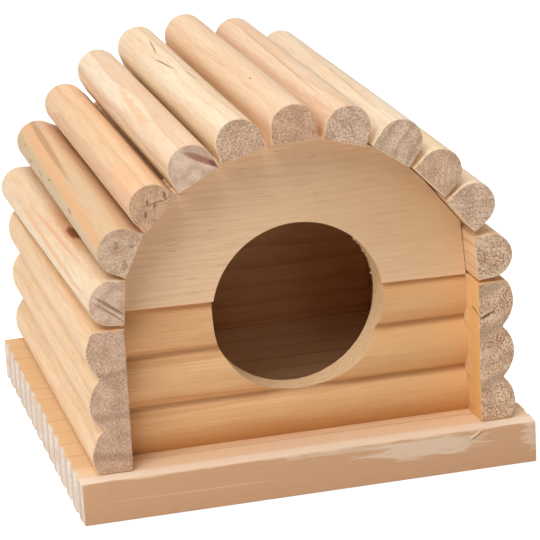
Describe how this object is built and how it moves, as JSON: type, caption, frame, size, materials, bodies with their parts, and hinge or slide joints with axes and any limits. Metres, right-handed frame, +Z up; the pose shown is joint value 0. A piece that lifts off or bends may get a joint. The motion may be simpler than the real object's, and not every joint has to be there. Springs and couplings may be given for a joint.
{
  "type": "wooden hamster house",
  "caption": "Small pine log-cabin hideout for a hamster: arched end panels, a D-log barrel roof, lobed siding walls, a round entrance and a flat base board.",
  "frame": {"origin": "on the ground, under the middle of the whole house", "axes": "+Z up; the entrance faces -Y; +X to the right seen from the entrance side"},
  "size_m": [0.144, 0.1468, 0.121],
  "materials": {
    "base_pine": "raw, planed",
    "siding_pine": "raw, planed",
    "panel_pine": "raw, sanded",
    "log_pine": "raw, sanded",
    "dowel_beech": "raw",
    "nail_steel": "bright"
  },
  "bodies": {
    "root": {"base_board": "base_pine", "left_wall": "siding_pine", "right_wall": "siding_pine", "front_wall": "siding_pine", "back_wall": "siding_pine", "front_arch": "panel_pine", "back_arch": "panel_pine", "roof_log_01": "log_pine", "roof_log_02": "log_pine", "roof_log_03": "log_pine", "roof_log_04": "log_pine", "roof_log_05": "log_pine", "roof_log_06": "log_pine", "roof_log_07": "log_pine", "roof_log_08": "log_pine", "roof_log_09": "log_pine", "roof_log_10": "log_pine", "roof_log_11": "log_pine", "arch_dowels": "dowel_beech", "wall_brads": "nail_steel", "base_nails": "nail_steel"}
  },
  "joints": []
}
